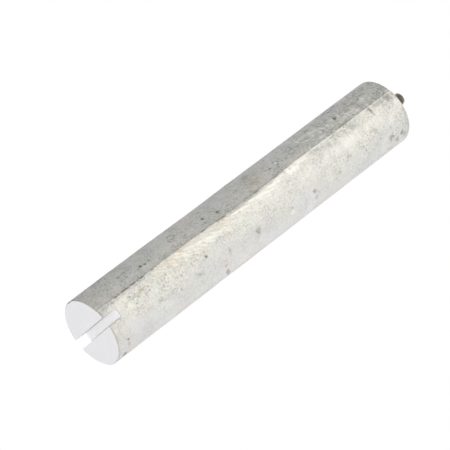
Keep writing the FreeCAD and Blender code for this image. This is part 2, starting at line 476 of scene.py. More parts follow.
# %% [markdown]
# ## Pores, nicks and stains
#
# Gas leaves pores in a casting, mostly in rows, and handling adds nicks. Each entry of the first list is
# one that the photograph shows: where it is, how long and wide, its lean, and how deep. Smaller pores are
# strewn over the dull half in clusters by a seeded generator. A pore is a dent in the mesh and also a value
# on its points, which the finish reads to darken it.

# %% Pores
# height mm, angle, long mm, wide mm, depth mm, and the lean of one that has any
PORES = [
    (15.8, -45.5, 0.8, 0.7, 0.1), (16.8, -45.5, 0.5, 0.5, 0.06), (18.2, -46.5, 0.8, 0.6, 0.09),
    (19.2, -47, 0.9, 0.5, 0.1), (20.4, -46, 0.6, 0.4, 0.08), (21.2, -46.5, 0.6, 0.4, 0.08),
    (15.6, -35.5, 0.7, 0.6, 0.1), (16, -39, 0.4, 0.5, 0.06), (18, -36.5, 0.5, 0.6, 0.1),
    (18, -40.5, 0.4, 0.5, 0.06), (21.7, -34.5, 0.7, 0.6, 0.08), (23.3, -35, 0.8, 0.5, 0.08),
    (24.7, -37, 1.1, 1, 0.16), (26.5, -35, 0.9, 1, 0.14), (27.4, -37.5, 0.5, 0.5, 0.08),
    (28.6, -36.5, 0.8, 0.6, 0.1), (39.9, -44.5, 0.5, 0.6, 0.08), (39.9, -40.5, 0.6, 0.5, 0.09),
    (41.3, -40.5, 0.5, 0.4, 0.05), (46.3, -40.5, 0.6, 0.5, 0.08), (50.4, -40.5, 0.6, 0.4, 0.07),
    (48, -42, 0.6, 0.4, 0.05), (10.7, -35.5, 0.7, 0.7, 0.06), (55.4, -37.5, 1.1, 0.8, 0.15, 25),
    (59.6, -40.5, 0.8, 0.5, 0.09), (60.4, -38.5, 0.5, 0.4, 0.06), (61.3, -32, 1, 0.9, 0.16),
    (61.5, -27, 0.4, 0.8, 0.1), (77.8, -40.5, 0.6, 0.5, 0.08), (83.5, -38.5, 0.6, 0.5, 0.06),
    (87.8, -40.5, 0.7, 0.6, 0.08), (89.6, -37.5, 0.9, 0.7, 0.12), (94.6, -42, 0.6, 0.5, 0.06),
    (97.6, -36.5, 1.4, 0.5, 0.07, 20), (105, -40.5, 1.4, 0.7, 0.07, 20), (124.5, -39.5, 1, 1.2, 0.18),
    (122.8, -39.5, 0.8, 0.4, 0.08), (134.5, -42, 0.9, 0.6, 0.08), (137.6, -42.5, 1.2, 0.6, 0.09, 20),
    (6.3, -15.5, 0.8, 0.4, 0.08, 20), (14.3, -3, 0.6, 0.4, 0.08), (15.3, -5, 0.5, 0.5, 0.06),
    (15.5, 0, 0.5, 0.6, 0.08), (13.6, 6.5, 0.8, 0.4, 0.08, 30), (17.5, -5, 0.5, 0.5, 0.07),
    (18.5, -3.5, 0.5, 0.4, 0.06), (20.8, -3, 0.7, 0.6, 0.08), (20.4, 3.5, 0.7, 0.4, 0.08, 30),
    (25, -10.5, 0.6, 0.5, 0.05), (26, 12, 0.5, 0.5, 0.07), (28.9, -1.5, 0.7, 0.5, 0.09),
    (30.6, 1, 0.5, 0.4, 0.06), (33.8, 14, 0.7, 0.6, 0.08), (21.6, 24, 0.7, 0.6, 0.06),
    (22.4, 27, 0.5, 0.6, 0.07), (24.3, 30, 0.5, 0.5, 0.05), (31.5, 32.5, 0.6, 0.6, 0.09),
    (39.3, 28, 0.5, 0.4, 0.05), (40.5, 31.5, 0.7, 0.6, 0.08), (42, 34.5, 0.6, 0.5, 0.05),
    (46, 14.5, 0.9, 1.1, 0.15), (4.9, 46.5, 0.8, 0.8, 0.16), (63.6, -5.5, 0.5, 0.4, 0.07),
    (64.8, -4.5, 0.5, 0.4, 0.07), (63, -8, 0.5, 0.4, 0.06), (67.2, -9, 0.5, 0.4, 0.05),
    (69.2, -1.5, 0.4, 0.4, 0.05), (69.2, 32.5, 0.6, 0.6, 0.06), (69.7, 35.5, 0.6, 0.8, 0.07, 30),
    (70.1, 24, 0.6, 0.5, 0.06), (69, 40, 0.4, 0.8, 0.06), (71.2, 27, 0.5, 0.4, 0.05),
    (55.6, 30, 0.6, 1.2, 0.06), (87, 37.5, 0.7, 0.6, 0.05), (98, 36.5, 0.7, 0.6, 0.08),
    (118.8, 26, 0.7, 0.4, 0.05, -45), (126.5, 35.5, 0.6, 0.7, 0.1), (127.6, 29.5, 0.5, 0.4, 0.06),
    (125.6, 27, 0.4, 0.4, 0.06), (134.5, 35.5, 0.6, 0.7, 0.09), (136, 30.5, 0.5, 0.4, 0.06),
    (137, -12, 0.5, 2.2, 0.1), (148, 41.5, 0.6, 0.6, 0.07), (0.4, -88, 1.2, 2.2, 0.2),
]
WIDEN = 0.3  # mm more each way, since a dent needs some faces of the mesh to show
DARKEST_FROM = 0.14  # mm deep
pits = np.zeros(len(skin))
for at, turn, long, wide, depth, *lean in PORES:
    here = spot(at, turn, long + WIDEN, wide + WIDEN, *lean, rough=0.25)
    relief -= depth * here
    pits = np.maximum(pits, here * min(1, depth / DARKEST_FROM) ** 1.3)
print("pores in the photograph", len(PORES))

# %% Small strewn pores
scatter = np.random.default_rng(11)
CLUSTERS = 26
PORES_EACH = 5
DULL_FROM, DULL_SPAN = 165, 170  # degrees
for cluster in range(CLUSTERS):
    middle_at = LENGTH_MM * scatter.random()
    middle_turn = DULL_FROM + DULL_SPAN * scatter.random()
    for k in range(PORES_EACH):
        at = middle_at + 2.0 * scatter.standard_normal()
        turn = middle_turn + 6 * scatter.standard_normal()
        depth = 0.03 + 0.07 * scatter.random()
        here = spot(at, turn, 0.8 + 0.4 * scatter.random(), 0.8, 90 * scatter.random(), 0.3)
        relief -= depth * here
        pits = np.maximum(pits, here * depth / 0.12)
print("strewn pores", CLUSTERS * PORES_EACH, "points in a pore", int((pits > 0.25).sum()))

# %% [markdown]
# ## Stains, rubbed places, painted light and painted shade
#
# Water and heat leave brown stains, flux and oxide leave grey ones, and rubbing leaves pale ones. The pale
# value also carries painted highlights: bright streaks on the filed flat here, and the edge beside the
# parting line further on. They are ovals broken up by noise, and each kind is a value on the points. Two
# more kinds of
# pale mark are strewn: slanting strokes of the file low on its flat, and rubbed flecks high on the dull
# half.
# Wider tan places, painted shade and painted light have no edge and fade out softly.

# %% Stains
# height mm, angle, long mm, wide mm, how strong, and the lean of one that has any
BROWN = [
    (80.7, -56, 3.6, 4.6, 0.38), (80.4, -44, 3.2, 3, 0.25), (80.3, -34.5, 3, 1.4, 0.4),
    (55, -29.5, 6, 2.2, 0.3), (53, 61.5, 1.8, 4, 0.75), (52.4, 50, 1.2, 2.6, 0.4), (54, 72, 1.6, 4.5, 0.6),
    (98.6, 38, 1.8, 2.8, 0.55), (99, 48, 2, 2.8, 0.35), (70, 30, 2.4, 5, 0.4), (3.4, 74.5, 2.2, 2.4, 0.85),
    (5, 58, 1, 3, 0.4, 10), (4.8, 52, 0.8, 1.6, 0.3), (46.2, 8, 0.8, 1.6, 0.35), (137, -8, 1.6, 3.6, 0.65),
    (136.8, -14, 1.3, 2.4, 0.6), (60.8, -18, 4, 1.2, 0.45), (17, -4, 3.4, 1.6, 0.25),
    (93.2, -45, 1.2, 0.8, 0.3), (124.5, -46.5, 1.6, 2, 0.4), (125, -29, 3.4, 1.2, 0.25),
]
GREY = [
    (23, -41, 18, 3.4, 0.15), (139.8, 46, 2.2, 3, 0.95), (143, 60.5, 2.4, 2, 1), (145.4, 52.5, 2, 2.4, 1),
    (147.3, 60, 3.6, 3, 0.9, 20), (147, -9.5, 4.6, 3.4, 1), (141, -14, 6, 1.8, 0.5),
    (113.6, -7.5, 2.4, 2.4, 0.55), (87, 37.5, 1.4, 0.9, 0.3), (85.5, 61.5, 1.3, 1.2, 0.4),
    (110, 46, 1.4, 3, 0.25), (40.6, 31, 4, 2.4, 0.2), (22.8, 26.5, 4, 2.4, 0.3), (55.8, 31, 1.6, 2.6, 0.35),
    (104.5, -42, 6, 2, 0.3), (136, -42, 4.4, 2.4, 0.4), (96, -42, 5, 1.2, 0.3, 20), (12, -16, 24, 1.6, 0.35),
    (70, -16, 22, 1.1, 0.45), (127.5, -10, 9, 3.2, 0.5), (6.3, 34.5, 1.2, 1, 0.3),
    (118, 24, 5, 1.1, 0.5, -53), (140.6, 29.5, 1.6, 1, 0.35), (2, -14, 5, 2.4, 0.2),
    (125.5, 27.5, 4.6, 1.3, 0.4, 36), (110, 33, 2.2, 4.5, 0.28), (112, 38.5, 1.8, 1.6, 0.38),
    (135, 29, 2.6, 1.5, 0.35), (118.5, -14, 4, 2.2, 0.4), (108, -14, 8, 1.8, 0.35),
    (131.5, -5, 2.2, 1.6, 0.38), (128.5, 22, 1.6, 1.4, 0.25), (134, 18, 2, 2.4, 0.2),
]
# the first nine are bright streaks where the ridges of the filed flat catch the light: painted highlights;
# the rest of those listed here are pale places on the skin
PALE = [
    (66.5, -11.5, 7, 1, 0.85, 6), (70.5, -9.5, 7.5, 1.1, 0.95, 6), (74.5, -13, 8, 0.9, 0.9, 5),
    (78, -10, 9, 1.2, 0.95, 6), (84.5, -12, 12.5, 1.1, 1, 5), (82.5, -7, 8.5, 0.9, 0.9, 6),
    (88.5, -15, 7, 0.8, 0.8), (94.8, -11, 8.5, 3.4, 1), (100, -15, 9, 1.6, 0.8), (108, -50, 6, 1.4, 0.5),
    (114.5, -26.5, 6, 1.1, 0.8), (114.5, -45.5, 6, 1.4, 0.5), (127, -28, 8, 2.2, 0.4),
    (133.6, -25, 2.6, 1.6, 0.8, 40), (132, -30, 6, 2.2, 0.45, 20), (138, -37, 3.4, 2.4, 0.4),
    (22.5, 11, 1.6, 2.2, 0.35), (86.5, 45.5, 3, 1.6, 0.5, 20), (70, 50, 2, 2.5, 0.3, 20),
    (113, 6, 20, 6, 0.25), (135, 0, 16, 6, 0.3),
]
FILE_STROKES = 70
for stroke in range(FILE_STROKES):
    up = scatter.random()
    turn = -17 + 14 * up + (15 - 8 * up) * scatter.random()
    long = 2.5 + 3 * scatter.random()
    strong = 0.3 + 0.6 * scatter.random()
    PALE.append((34 + 28 * up, turn, long, 0.7, strong, 23))
RUBBED_FLECKS = 90
for fleck in range(RUBBED_FLECKS):
    at = 124 + 10 * scatter.standard_normal()
    turn = -36 + 9 * scatter.standard_normal()
    long = 0.9 + 1.8 * scatter.random()
    lean = 180 * scatter.random()
    strong = 0.35 + 0.6 * scatter.random()
    PALE.append((at, min(turn, -22), long, 0.7, strong, lean))
print("brown", len(BROWN), "grey", len(GREY), "pale", len(PALE))


# %% Values of the stains
def painted(marks, rough=0.75):
    """One value for each point, from a list of marks: the strongest mark there wins."""
    value = np.zeros(len(skin))
    for at, turn, long, wide, strong, *lean in marks:
        value = np.maximum(value, strong * spot(at, turn, long, wide, *lean, rough=rough))
    return value


# height mm, angle, reach up and down in mm, reach round the bar in degrees, how strong
TAN = [
    (35.5, -10.5, 3, 7, 0.75), (39, -13, 2.5, 5, 0.6), (26.5, -10, 1.2, 3, 0.4), (18, -4, 3, 3, 0.5),
    (46, 7, 2, 3, 0.3), (58, 6, 4, 4, 0.3), (139, 4, 3, 6, 0.15), (140, 60, 8, 12, 0.15),
    (149.5, 4, 1.2, 6, 0.5), (57, -10, 4, 5, 0.3), (112, -3, 4, 5, 0.12), (80.3, -33.2, 2.5, 4, 0.65),
    (81, -49, 4, 7, 0.3), (44, 0, 10, 11, 0.12), (129, 0, 18, 11, 0.12),
]
SHADE = [
    (15, -91, 11, 16, 1), (20, -68, 5, 6, 0.4), (75, -78, 60, 6, 0.2), (150.2, 0, 1.6, 300, 0.5),
    (1.5, -84, 3, 12, 0.7), (3, -17, 4, 4, 0.3), (146, -14, 3, 7, 0.4), (25, -80, 22, 9, 0.32),
    (125, -50, 28, 28, 0.17), (50, 82, 60, 8, 0.12), (74, -17.5, 15, 2.8, 0.5), (30, -17.5, 20, 2.4, 0.32),
]
# painted light: soft lighter places beside the line, where the main lamp faces the bright half, on its far
# side, and on the rim beside the stud
LIGHT = [
    (3, -24, 5, 5, 0.3), (28, -33, 40, 9, 0.22), (75, -33, 25, 8, 0.14), (78, -4, 28, 12, 0.25),
    (80, -11, 16, 3, 0.45), (122, 6, 22, 13, 0.52), (148.5, 5, 1.6, 7, 0.7), (80, 62, 60, 12, 0.15),
]


broken = np.clip(1 + 0.9 * lumps(2.2, 31), 0.3, 1.3)


def haze(marks):
    """The same for marks that fade out softly, a little broken up."""
    value = np.zeros(len(skin))
    for at, turn, up, round_bar, strong in marks:
        off = (angle - turn + 180) % 360 - 180
        value = np.maximum(value, strong * np.exp(-((height - at) / up) ** 2 - (off / round_bar) ** 2))
    return np.clip(value * broken, 0, 1) * on_side


brown, grey, pale = painted(BROWN), painted(GREY, 0.9), painted(PALE, 0.7)
# oxide is patchy, and the sawn edge of the foot is browned
grey *= np.clip(0.62 + 0.8 * lumps(1.5, 33), 0.15, 1)
brown = np.maximum(brown, 0.5 * np.exp(-(height / 0.4) ** 2) * on_side)
tan, shade = haze(TAN), haze(SHADE)
# the painted light joins the pale marks
pale = np.maximum(pale, haze(LIGHT))
# the strongest stains have eaten into the skin
relief -= 0.05 * brown * (brown > 0.4)
print("stained points", int((brown > 0.2).sum()), "brown", int((grey > 0.2).sum()), "grey")

# %% [markdown]
# ## The parting line
#
# A parting line is only as straight as the mould's edge. Points near it are turned a little round the bar,
# both halves alike, to where the photograph shows the line, and the proud edge is chipped in places. Painted
# shade lies in the corner under the ledge, darkest in a row of dashes, and here and there a painted
# highlight lies along the edge beside it.

# %% Waver and chips
# the line's angle at some heights, as measured in the photograph
LINE = [
    (0, -19.4), (26, -19.5), (33, -20.6), (42, -20.1), (50, -19.6), (56, -19), (62, -18), (75, -18.2),
    (88, -18.9), (95, -20.5), (110, -20.5), (116, -19.9), (150, -19.6),
]
# from and to height of the black dashes of painted shade on it, and how strong
DASHES = [
    (8.5, 9.5, 0.7), (10.2, 10.6, 0.5), (11.8, 14.8, 1), (16.3, 18, 0.9), (19.4, 19.8, 0.6),
    (20.8, 22, 0.8), (26.2, 27, 0.7), (28, 28.6, 0.4), (50.5, 52.5, 0.6), (58, 62, 0.5), (72, 72.6, 0.4),
    (77, 79, 0.4), (87, 89, 0.5), (120, 126, 0.25),
]


def along_line(size_mm, seed):
    """Noise that changes only up the bar, in waves of that many millimetres."""
    return np.array([noise.noise(Vector((h / size_mm, seed, 0.5))) for h in height])


# degrees beside the line over which the waver and the chips fade
WAVER_WIDE, CHIP_WIDE = 5.0, 1.2
line_at = np.interp(height, [at for at, turn in LINE], [turn for at, turn in LINE])
waver = line_at - LINE_TURN + 0.35 * along_line(4.0, 8.1) + 0.3 * along_line(1.3, 1.7)
chips = ramp(along_line(1.5, 5.5), 0.10, 0.40)
# degrees from the nearer of the two lines, which are half a turn apart
from_line = (angle - LINE_TURN + 90) % 180 - 90
near_line = np.exp(-(from_line / WAVER_WIDE) ** 2) * on_side
turned = np.radians(waver * near_line)
relief -= 0.14 * chips * np.exp(-(from_line / CHIP_WIDE) ** 2) * on_side
patchy = ramp(along_line(5.0, 4.4) + 0.5 * along_line(1.2, 6.6), -0.3, 0.4)
dashes = np.zeros(len(skin))
for start, end, strong in DASHES:
    begun = strong * ramp(height, start - 0.3, start)
    dashes = np.maximum(dashes, begun * (1 - ramp(height, end, end + 0.3)))
# the painted shade reaches further onto the low side than onto the proud one
ledge_shade = np.where(from_line < 0.02, np.exp(-(from_line / 1.5) ** 2), np.exp(-(from_line / 0.8) ** 2)) * on_side
ledge_shade *= np.clip((0.15 + 0.25 * patchy) * ramp(height, 3, 9) + dashes, 0, 1)
# painted highlight: a thin bright line on the proud edge beside the parting line
lit_edge = np.exp(-((from_line - 1.2) / 1.0) ** 2) * on_side
# how bright the painted highlight on the edge beside the line is at some heights
LIT = [
    (26, 0), (29, 0.5), (36, 0.5), (40, 0.2), (60, 0), (91, 0), (93, 0.9), (102, 0.8), (104, 0.25),
    (106, 0.25), (108, 0.9), (112, 0.9), (115, 0.3), (150, 0.3),
]
lit_edge *= np.interp(height, [at for at, lit in LIT], [lit for at, lit in LIT])
# the painted highlight joins the pale marks
pale = np.maximum(pale, lit_edge)
print("the line wavers by", round(float(np.abs(turned).max() * RADIUS_MM), 2), "mm")

# %% [markdown]
# ## The filed flat
#
# Someone has taken the flash off the proud edge with a file, which left a long shallow flat that tapers
# upwards to nothing. A file cuts flat, so every point that stands beyond one plane is laid onto it. The cut
# is clean metal, slightly uneven, and those points are marked for the finish.

# %% File the flat
FLAT_START, FLAT_LENGTH, FLAT_DEPTH = 26.0, 84.0, 0.25
FLAT_TURN = math.radians(-10.0)
FLAT_REACH = 13.12  # mm from the axis to the plane where the flat has no depth
THINNEST = 0.004  # mm of depth at which the flat ends
flat_normal = np.array([math.cos(FLAT_TURN), math.sin(FLAT_TURN)])

place = outward * (reach + relief * on_side)[:, None]
c, s = np.cos(turned), np.sin(turned)
place = np.stack([place[:, 0] * c - place[:, 1] * s, place[:, 0] * s + place[:, 1] * c], 1)
depth = FLAT_DEPTH * np.clip(1 - (height - FLAT_START) / FLAT_LENGTH, 0, 1) * ramp(height, 22.5, 28.0)
limit = FLAT_REACH - depth
beyond = place @ flat_normal - limit
uneven = 0.012 * lumps(1.0, 9)
filed = ramp(beyond, 0.0, 0.035) * on_side * (depth > THINNEST)
cut = np.where((beyond > 0) & on_side & (depth > THINNEST), beyond + uneven * filed, 0)
place -= flat_normal * cut[:, None]
print("filed points", int((filed > 0.5).sum()), "deepest", cut.max().round(3), "mm")

# %% [markdown]
# ## Write the points and their values back
#
# The top end gets a slight hollow of its own, since poured metal sinks as it freezes. Then every point moves
# to its new place, held inside the CAD model's box. The last values say where the wide patterns show:
# painted light in a lighter, creamier band up the bright half where the main lamp faces it, a cooler,
# smoother coat near both outlines that is also painted fill light on the bright half, and more or less of
# the rubbed mottles, pinpricks and grain. All the values become layers of the mesh.

# %% Move the points
INSET = 0.001  # mm inside the box

sunk = 0.10 * ramp(12.0 - reach, 0, 6) + 0.05 * np.abs(lumps(5, 12))
new_height = np.where((height > 149.99) & (reach < 12.3) & (reach > 3.2), height - sunk, height)
place = np.where(on_side[:, None], place, skin[:, :2])
box = np.array([cad_low[:2], cad_high[:2]]) / MM
place = np.clip(place, box[0] + INSET, box[1] - INSET)
for v, (x, y), z in zip(bar.verts, place, new_height):
    v.co = Vector((x, y, z)) * MM
print("box of the bar", place.min(0).round(3), "to", place.max(0).round(3), "mm")

# %% Layers of values
# the bands' edges wander by some degrees
clouds = 14 * lumps(12, 21) + 10 * lumps(4, 22)
# painted light: where the main lamp faces the bar, a band is coloured lighter and creamier, reaching the
# dull half beside the line
lamp_lit_band = np.exp(-((angle + 2 + clouds) / (26 + 8 * ramp(height, 90, 125))) ** 2) * on_side
# a cooler, smoother coat towards both outlines; on the bright half it is also painted fill light, lighter
# where the side turns away from the main lamp
cool_smooth_and_fill_light = ramp(angle + clouds, 20, 62) * on_side
# at the back the first degrees of the bright half count as dull too
on_dull = (angle < LINE_TURN) * 1.0
cool_smooth_and_fill_light = np.maximum(cool_smooth_and_fill_light, 0.7 * on_dull * ramp(-angle - clouds, 45, 80) * on_side)
mottle = np.where(on_dull > 0, 0.25 + 0.75 * ramp(height, 78, 100), 0.8 - 0.5 * cool_smooth_and_fill_light)
pricks = (1 - ramp(height, 26, 48)) * ramp(height, 2, 6) * (1 - ramp(angle, 15, 50)) * on_side
low_down = 1 - ramp(height, 26, 40)
pricks = np.maximum(pricks, (0.35 - 0.2 * on_dull + 0.65 * on_dull * low_down) * on_side * (1 - cool_smooth_and_fill_light))
grainy = (1.0 + 0.15 * on_dull) * (1 - 0.5 * ramp(angle + clouds, 0, 35))
grainy *= 1 + 0.35 * ramp(height, 105, 125)
values = {"pits": pits, "brown": brown, "grey": grey, "pale": pale, "tan": tan, "shade": shade,
          "ledge_shade": ledge_shade, "filed": filed, "lamp_lit_band": lamp_lit_band, "cool_smooth_and_fill_light": cool_smooth_and_fill_light, "mottle": mottle,
          "pricks": pricks, "grainy": grainy}
layers = {name: bar.verts.layers.float.new(name) for name in values}
for name, layer in layers.items():
    for v, value in zip(bar.verts, values[name]):
        v[layer] = value
print("layers on the points", list(layers))

# %% [markdown]
# ## Saw the slot
#
# A hacksaw or slitting saw has run once across the foot. The slot's sides are planes: the near wall, the
# floor, a rounded corner in three narrow planes, and the far wall. The skin is parted along each of them,
# the skin inside all of them comes away, and each is closed with a face of its own. The floor isn't quite
# level, which the photograph shows at its corner.

# %% Slot
SLOT_WIDTH = 3.8 * MM
SLOT_MIDDLE = 0.4 * MM
SLOT_DEPTH = 5.5 * MM
SLOT_SLOPE = 1 / 26
SLOT_CORNER = 0.9 * MM
TINY = 0.002 * MM
ABOVE_SLOT = 8 * MM
MANY = 20  # a face with at least this many corners is a flat end

near_wall = SLOT_MIDDLE - SLOT_WIDTH / 2
far_wall = SLOT_MIDDLE + SLOT_WIDTH / 2
# a point of each cut and the direction out of the slot: near wall, floor, three of the corner, far wall
CUTS = [(Vector((0, near_wall, 0)), Vector((0, -1, 0)))]
corner = Vector((0, far_wall - SLOT_CORNER, SLOT_DEPTH - SLOT_CORNER))
for turn in (0, 22.5, 45, 67.5, 90):
    c, s = math.cos(math.radians(turn)), math.sin(math.radians(turn))
    away = Vector((-SLOT_SLOPE * c, s, c)).normalized()
    CUTS.append((corner + away * SLOT_CORNER, away))


def past(co, cut):
    """How far a point is past a cut, from inside the slot."""
    return (co - CUTS[cut][0]).dot(CUTS[cut][1])


def part_foot(cut, wanted):
    """Parts the wanted faces low down on the bar along a cut."""
    faces = [f for f in bar.faces if min(v.co.z for v in f.verts) < ABOVE_SLOT and wanted(f)]
    geometry = faces + list({e for f in faces for e in f.edges}) + list({v for f in faces for v in f.verts})
    bmesh.ops.bisect_plane(bar, geom=geometry, dist=TINY / 4, plane_co=CUTS[cut][0], plane_no=CUTS[cut][1])


def between_walls(face):
    """Whether the middle of a face lies between the walls of the slot."""
    return near_wall < face.calc_center_median().y < far_wall


walls = (0, len(CUTS) - 1)
for wall in walls:
    part_foot(wall, lambda face: True)
for cut in range(1, walls[1]):
    part_foot(cut, lambda face: between_walls(face) and len(face.verts) < MANY)
gone = [f for f in bar.faces if all(past(f.calc_center_median(), cut) < 0 for cut in range(len(CUTS)))]
bmesh.ops.delete(bar, geom=gone, context="FACES")
print("faces sawn away", len(gone), "open edges", sum(e.is_boundary for e in bar.edges))

# %% Walls and floor of the slot
open_edges = [e for e in bar.edges if e.is_boundary]
open_points = {v for e in open_edges for v in e.verts}


def on_cut(v, cut):
    """Whether a point lies on a cut."""
    return abs(past(v.co, cut)) < TINY


ridges = []
for cut in range(walls[1]):
    corners = [v for v in open_points if on_cut(v, cut) and on_cut(v, cut + 1)]
    ridges.append(bar.edges.new(corners))
for cut in range(len(CUTS)):
    outline = [e for e in open_edges + ridges if all(on_cut(v, cut) for v in e.verts)]
    bmesh.ops.contextual_create(bar, geom=outline)["faces"][0].material_index = MILLED
bmesh.ops.recalc_face_normals(bar, faces=bar.faces)
print("open edges left", sum(e.is_boundary for e in bar.edges))
print("volume", round(bar.calc_volume() / MM ** 3), "mm3")

# %% Into an object
def into_object(form, name, node):
    """Makes a finished bmesh a piece that stands for a CAD node and rides on the body."""
    mesh = bpy.data.meshes.new(name)
    form.to_mesh(mesh)
    form.free()
    made = bpy.data.objects.new(name, mesh)
    bpy.context.scene.collection.objects.link(made)
    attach(made, "root")
    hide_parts(node)
    print(name, len(mesh.vertices), "points", sum(len(p.vertices) - 2 for p in mesh.polygons), "triangles")
    return made


for face in bar.faces:
    face.smooth = len(face.verts) < MANY
for edge in bar.edges:
    if len(edge.link_faces) == 2 and edge.calc_face_angle() > math.radians(35):
        edge.smooth = False
cast_rod = into_object(bar, "cast_rod", "anode_body")

# %% [markdown]
# ## The stud
#
# The stud is a piece of steel with an M5 thread, a plain thicker root that the metal is cast round, and a
# chamfered tip. A thread is one profile wound round an axis while it climbs, so one tooth is drawn as a
# short row of edges and spun with a rise at each step. Each turn ends where the next begins, and merging
# the doubles joins them. The wound surface is cut off square at the casting and at the tip. A real thread's
# crests are a little under the nominal 2.5 mm.

# %% Thread
PITCH = 0.8 * MM
CREST = 2.42 * MM
THREAD_ROOT = 2.02 * MM
TURN_STEPS = 44
TURNS = 15
TIP = 160.0 * MM
CHAMFER = 0.6 * MM

stud = bmesh.new()
# how far out, and how far up, in shares of the depth and of the pitch
TOOTH = [(0, 0), (0, 0.12), (0.9, 0.42), (1, 0.46), (1, 0.54), (0.9, 0.58), (0, 0.88), (0, 1)]
start = LENGTH - 1.5 * PITCH
row = []
for out, up in TOOTH:
    at = (THREAD_ROOT + out * (CREST - THREAD_ROOT), 0, start + up * PITCH)
    row += bmesh.ops.create_vert(stud, co=at)["vert"]
tooth = row + [stud.edges.new(pair) for pair in zip(row, row[1:])]
bmesh.ops.spin(stud, geom=tooth, cent=(0, 0, 0), axis=(0, 0, 1), angle=math.tau * TURNS,
               steps=TURN_STEPS * TURNS, dvec=(0, 0, PITCH / TURN_STEPS))
bmesh.ops.remove_doubles(stud, verts=stud.verts, dist=2 * MERGE)
print("thread", len(stud.verts), "points, from", round(min(v.co.z for v in stud.verts) / MM, 2), "to",
      round(max(v.co.z for v in stud.verts) / MM, 2))

# %% Tip, root and seat
def cut_stud(height, **ends):
    """Cuts the stud level at a height, and clears away the end that is named, if any."""
    geometry = [*stud.verts, *stud.edges, *stud.faces]
    bmesh.ops.bisect_plane(stud, geom=geometry, dist=0.1 * MERGE, plane_co=(0, 0, height),
                           plane_no=(0, 0, 1), **ends)


cut_stud(TIP, clear_outer=True)
cut_stud(LENGTH, clear_inner=True)
cut_stud(TIP - CHAMFER)
for v in stud.verts:
    allowed = CREST - max(0, v.co.z - (TIP - CHAMFER))
    if v.co.xy.length > allowed:
        v.co.xy = v.co.xy.normalized() * allowed
bmesh.ops.contextual_create(stud, geom=open_at(stud, TIP))
seat = open_at(stud, LENGTH)
collar = bmesh.ops.create_circle(stud, cap_ends=False, segments=TURN_STEPS, radius=BORE,
                                 matrix=Matrix.Translation((0, 0, LENGTH)))["verts"]
collar_edges = list({e for v in collar for e in v.link_edges})
bmesh.ops.bridge_loops(stud, edges=seat + collar_edges)
made = bmesh.ops.extrude_edge_only(stud, edges=collar_edges)["geom"]
bmesh.ops.translate(stud, verts=points_of(made), vec=(0, 0, -ROOT_DEPTH))
bmesh.ops.contextual_create(stud, geom=edges_of(made))
bmesh.ops.remove_doubles(stud, verts=stud.verts, dist=MERGE)
bmesh.ops.recalc_face_normals(stud, faces=stud.faces)
print("open edges", sum(e.is_boundary for e in stud.edges), "volume", round(stud.calc_volume() / MM ** 3, 1))
for face in stud.faces:
    face.smooth = len(face.verts) < MANY
for edge in stud.edges:
    if len(edge.link_faces) == 2 and edge.calc_face_angle() > math.radians(28):
        edge.smooth = False
threaded = into_object(stud, "steel_stud", "threaded_stud")

# %% [markdown]
# ## Cast magnesium
#
# The skin of a magnesium casting is metal under a thin chalky layer of oxide: still metallic, but it
# scatters light widely and mirrors nothing. Its colour wanders a little over a centimetre and is peppered
# over a millimetre. The same graph serves both halves of the bar with other colours. It lays one coat over
# another, and a coat's strength is a noise pattern, a value that was left on the points, or a product of
# the two. The real grain and pinpricks are finer than this picture's pixels, so both are drawn coarser than
# they are, to show at all.

# %% Patterns of the skin
def per_mm(size):
    """A noise texture's scale for lumps of that many millimetres."""
    return 1 / (size * MM)


# size in mm, detail, roughness, and the range of the noise that is spread from 0 to 1
PATTERNS = {
    "clouds": (9, 3, 0.65, 0.42, 0.68), "warm clouds": (7.3, 3, 0.65, 0.42, 0.68),
    "green clouds": (5.9, 3, 0.65, 0.42, 0.68), "grain": (0.75, 3, 0.8, 0.42, 0.70),
    "patches": (5, 2, 0.5, 0.25, 0.62), "flecks": (1.3, 3, 0.75, 0.50, 0.70),
    "file strokes": (0.6, 3, 0.7, 0.38, 0.66), "gatherings": (2.6, 2, 0.5, 0.47, 0.60),
}
# the coats in the order in which they lie: tone, how strong, and what the strength is multiplied by
# painted light and shade among the coats: the lamp-lit band, the fill light in the cool smooth coat, the
# shade coat, the highlights in the pale marks, and the shade under the ledge in the darkest coat
COATS = [
    ("lamp_lit_band", 1.0, ["lamp_lit_band"]), ("cool_smooth_and_fill_light", 0.9, ["cool_smooth_and_fill_light"]), ("cloud", 0.55, ["clouds"]),
    ("warm", 0.55, ["warm clouds"]), ("green", 0.55, ["green clouds"]),
    ("speckle", 0.85, ["grain", "patches", "grainy"]), ("wear_and_highlight", 0.45, ["flecks", "mottle"]),
    ("filed", 0.55, ["filed"]), ("speckle", 0.36, ["filed", "file strokes"]), ("shade", 1.0, ["shade"]),
    ("oxide", 1.0, ["grey"]), ("tan", 1.0, ["tan"]), ("stain", 1.0, ["brown"]), ("wear_and_highlight", 0.85, ["pale"]),
    ("dirt_and_shade", 0.85, ["pits"]), ("dirt_and_shade", 0.75, ["pinpricks", "gatherings", "pricks"]), ("dirt_and_shade", 1.0, ["ledge_shade"]),
]
PINPRICKS_APART = 0.8  # mm
STROKE_LEAN = -0.42  # radians
print("patterns", len(PATTERNS), "coats", len(COATS))

